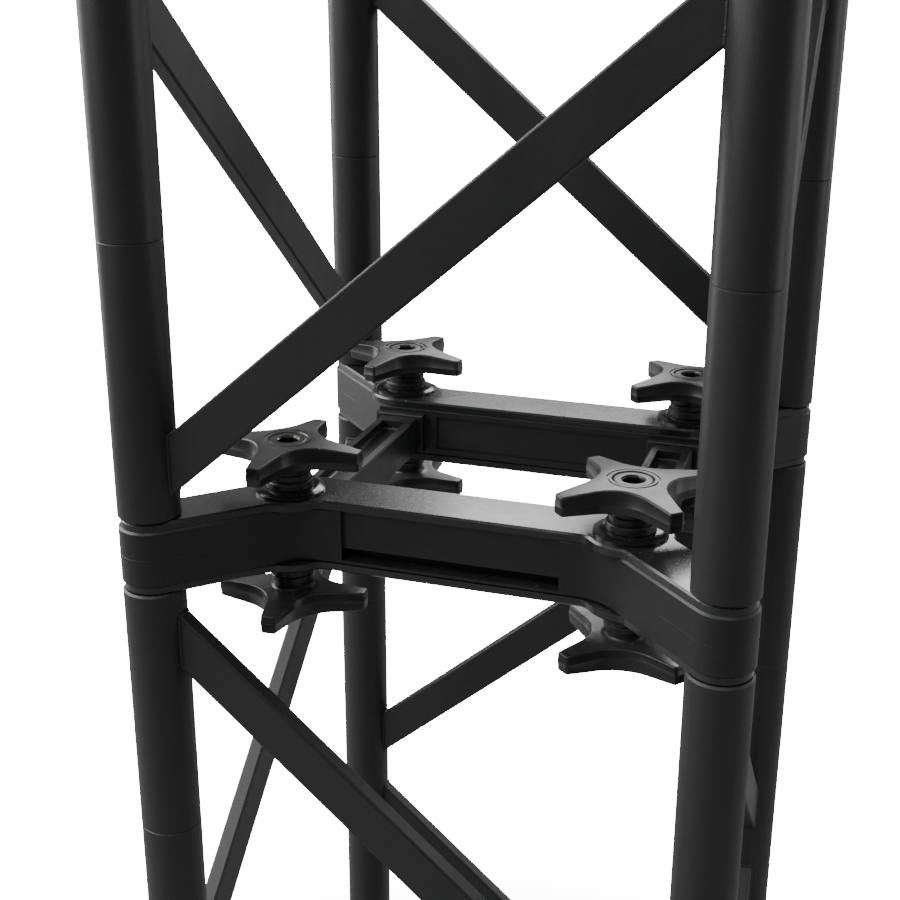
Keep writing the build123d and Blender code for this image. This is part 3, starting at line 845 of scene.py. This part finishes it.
class TRUSS_OT_make_bolts(bpy.types.Operator):
    """Make the four threaded clamp bolts"""

    bl_idname = "truss.make_bolts"
    bl_label = "Clamp bolts"

    def execute(self, context):
        rows = bolt_rows(context.scene.truss_shape)
        for corner in CORNERS:
            bolt = grid_piece(f"threaded_bolt_{corner}", placed(rows, knob_place("upper", corner)),
                              sharp=math.radians(30))
            dress(bolt, black_oxide, "bolt_steel", f"upper_knob_{corner}", f"clamp_bolt_{corner}")
        return {"FINISHED"}


class TRUSS_OT_make_welds(bpy.types.Operator):
    """Make the weld beads round the ends of the braces"""

    bl_idname = "truss.make_welds"
    bl_label = "Brace welds"

    def execute(self, context):
        shape = context.scene.truss_shape
        for module in MODULES:
            for face in OUTWARD:
                braces = [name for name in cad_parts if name.startswith(f"{module}_brace_{face}_")]
                beads = [weld_rows(name, face, end, shape) for name in sorted(braces) for end in (-1, 1)]
                dress(joined_rings(f"{module}_welds_{face}", beads), weld_coat, "truss_paint", "truss")
        return {"FINISHED"}


class TRUSS_OT_make_parting_lines(bpy.types.Operator):
    """Make the parting lines on the corners of the cast brackets"""

    bl_idname = "truss.make_parting_lines"
    bl_label = "Parting lines"

    def execute(self, context):
        for face, sy in (("front", -1), ("back", 1)):
            for side, sx in (("left", -1), ("right", 1)):
                rows = parting_rows(sx, sy, context.scene.truss_shape)
                ridge = grid_piece(f"parting_line_{face}_{side}", rows)
                dress(ridge, cast_coat, "coupling_paint", "truss")
        return {"FINISHED"}


def soft_box(name, place, aim, width, height, radiance):
    """An area light turned towards a point, its power worked out from its radiance and area."""
    light = bpy.data.lights.new(name, "AREA")
    light.shape, light.size, light.size_y = "RECTANGLE", width, height
    light.energy = radiance * math.pi * width * height
    lamp = bpy.data.objects.new(name, light)
    lamp.matrix_world = Matrix.Translation(place) @ (
        (Vector(aim) - Vector(place)).to_track_quat("-Z", "Y").to_matrix().to_4x4())
    bpy.context.scene.collection.objects.link(lamp)
    return lamp


def around(azimuth, elevation, distance):
    """A place round the joint. Azimuth runs from straight behind the truss to the right, in degrees."""
    a, e = math.radians(azimuth), math.radians(elevation)
    return Vector((math.sin(a) * math.cos(e) * distance, math.cos(a) * math.cos(e) * distance,
                   JOINT_Z + math.sin(e) * distance))


def glowing(tree, glow, light, socket):
    """Background or emission that the camera sees at one strength and the truss at another."""
    seen = (tree.nodes.new("ShaderNodeLightPath"), "Is Camera Ray")
    others = maths(tree, "MULTIPLY", maths(tree, "SUBTRACT", 1.0, seen), light)
    join(tree, maths(tree, "ADD", maths(tree, "MULTIPLY", seen, glow), others), socket)


def make_camera(studio):
    """The camera: its forward direction from yaw and pitch, its upward one square to that and rolled."""
    yaw, pitch = studio.camera_yaw, studio.camera_pitch
    ahead = Vector((math.sin(yaw) * math.cos(pitch), math.cos(yaw) * math.cos(pitch), math.sin(pitch)))
    right = Vector((math.cos(yaw), -math.sin(yaw), 0))
    up = right.cross(ahead)
    roll = Matrix.Rotation(-studio.camera_roll, 3, ahead)
    data = bpy.data.cameras.new("studio_camera")
    data.lens, data.shift_y, data.sensor_width = studio.lens, studio.shift_y, 36.0
    data.clip_start, data.clip_end = 0.01, 100.0
    camera = bpy.data.objects.new("studio_camera", data)
    turn = Matrix((roll @ right, roll @ up, -(roll @ ahead))).transposed().to_4x4()
    camera.matrix_world = Matrix.Translation(Vector((0, 0, JOINT_Z)) + Vector(studio.camera_offset)) @ turn
    bpy.context.scene.collection.objects.link(camera)
    bpy.context.scene.camera = camera


FLOOR_HALF = 12.0
FLOOR_GAIN = 1.6             # the floor glows more than the backdrop, and its glow fades out near the truss as a painted shadow
FLOOR_SHADOW_POWER = 3.0

# Name, then azimuth, elevation and distance from the joint, width, height, setting and share of it
SOFT_BOXES = (("back_box", (-6, 36, 2.4), 1.0, 1.1, "back_light", 1.0),
              ("left_box", (-72, 8, 2.2), 0.7, 1.8, "side_light", 2.0),
              ("window_box", (-106, 34, 1.5), 1.9, 0.9, "window_light", 1.0),
              ("rear_box", (40, 12, 2.2), 0.5, 1.6, "side_light", 1.0),
              ("right_box", (80, 10, 2.2), 0.8, 1.8, "side_light", 1.0),
              ("top_box", (170, 55, 2.4), 1.6, 1.2, "top_light", 1.0))


class TRUSS_OT_set_stage(bpy.types.Operator):
    """Set the floor, the backdrop, the lights and the camera"""

    bl_idname = "truss.set_stage"
    bl_label = "Stage"

    def execute(self, context):
        studio = context.scene.truss_studio
        square = np.array([(-1, -1, 0), (1, -1, 0), (1, 1, 0), (-1, 1, 0)], float)
        floor = mesh_piece("studio_floor", FLOOR_HALF * square, [(0, 1, 2, 3)])
        paper = bpy.data.materials.new("studio_paper")
        paper.use_nodes = True
        tree = paper.node_tree
        shader = tree.nodes["Principled BSDF"]
        shader.inputs["Base Color"].default_value = (0.28, 0.28, 0.28, 1)
        shader.inputs["Roughness"].default_value = 0.9
        shader.inputs["Emission Color"].default_value = (1, 1, 1, 1)
        place = add_node(tree, "ShaderNodeTexCoord")
        reach = add_node(tree, "ShaderNodeVectorMath", operation="LENGTH")
        join(tree, (place, "Object"), reach.inputs[0])
        # Painted shadow: the floor's glow, as the camera sees it, falls to nothing towards the middle under
        # the truss
        fade = maths(tree, "POWER", remap(tree, (reach, "Value"), 0.0, studio.shade_reach), FLOOR_SHADOW_POWER)
        glow = maths(tree, "MULTIPLY", fade, FLOOR_GAIN * studio.backdrop_glow)
        glowing(tree, glow, 0.0, shader.inputs["Emission Strength"])
        floor.data.materials.append(paper)
        world = bpy.data.worlds.new("studio_room")
        context.scene.world = world
        world.use_nodes = True
        tree = world.node_tree
        facing = add_node(tree, "ShaderNodeTexCoord")
        parts = add_node(tree, "ShaderNodeSeparateXYZ", Vector=(facing, "Generated"))
        height = maths(tree, "ADD", (parts, "Y"), (parts, "Z"))
        light = remap(tree, height, -0.6, 0.8, studio.front_light, studio.room_light)
        glowing(tree, studio.backdrop_glow, light, tree.nodes["Background"].inputs["Strength"])
        tree.nodes["Background"].inputs["Color"].default_value = (1, 1, 1, 1)
        joint = Vector((0, 0, JOINT_Z))
        for name, place, width, height, setting, share in SOFT_BOXES:
            soft_box(name, around(*place), joint, width, height, share * getattr(studio, setting))
        make_camera(studio)
        return {"FINISHED"}


class TRUSS_PT_looks(bpy.types.Panel):
    """Settings and steps of the truss's looks"""

    bl_label = "Lighting truss"
    bl_idname = "TRUSS_PT_looks"
    bl_space_type = "VIEW_3D"
    bl_region_type = "UI"
    bl_category = "Truss"

    def draw(self, context):
        for owner in ("truss_shape", "truss_finish", "truss_studio"):
            box = self.layout.box()
            settings = getattr(context.scene, owner)
            for key in type(settings).__annotations__:
                box.prop(settings, key)
        for step in STEPS:
            self.layout.operator(step.bl_idname)


SETTINGS = {"truss_shape": TrussShapeSettings, "truss_finish": TrussFinishSettings,
            "truss_studio": TrussStudioSettings}
STEPS = (TRUSS_OT_paint_frame, TRUSS_OT_make_knobs, TRUSS_OT_make_bolts, TRUSS_OT_make_welds,
         TRUSS_OT_make_parting_lines, TRUSS_OT_set_stage)


def register():
    for settings in SETTINGS.values():
        bpy.utils.register_class(settings)
    for name, settings in SETTINGS.items():
        setattr(bpy.types.Scene, name, PointerProperty(type=settings))
    for part in (*STEPS, TRUSS_PT_looks):
        bpy.utils.register_class(part)


def unregister():
    for part in (TRUSS_PT_looks, *reversed(STEPS)):
        bpy.utils.unregister_class(part)
    for name, settings in SETTINGS.items():
        delattr(bpy.types.Scene, name)
        bpy.utils.unregister_class(settings)


def main():
    register()
    for step in STEPS:
        group, operator = step.bl_idname.split(".")
        getattr(getattr(bpy.ops, group), operator)()


if __name__ == "__main__":
    main()
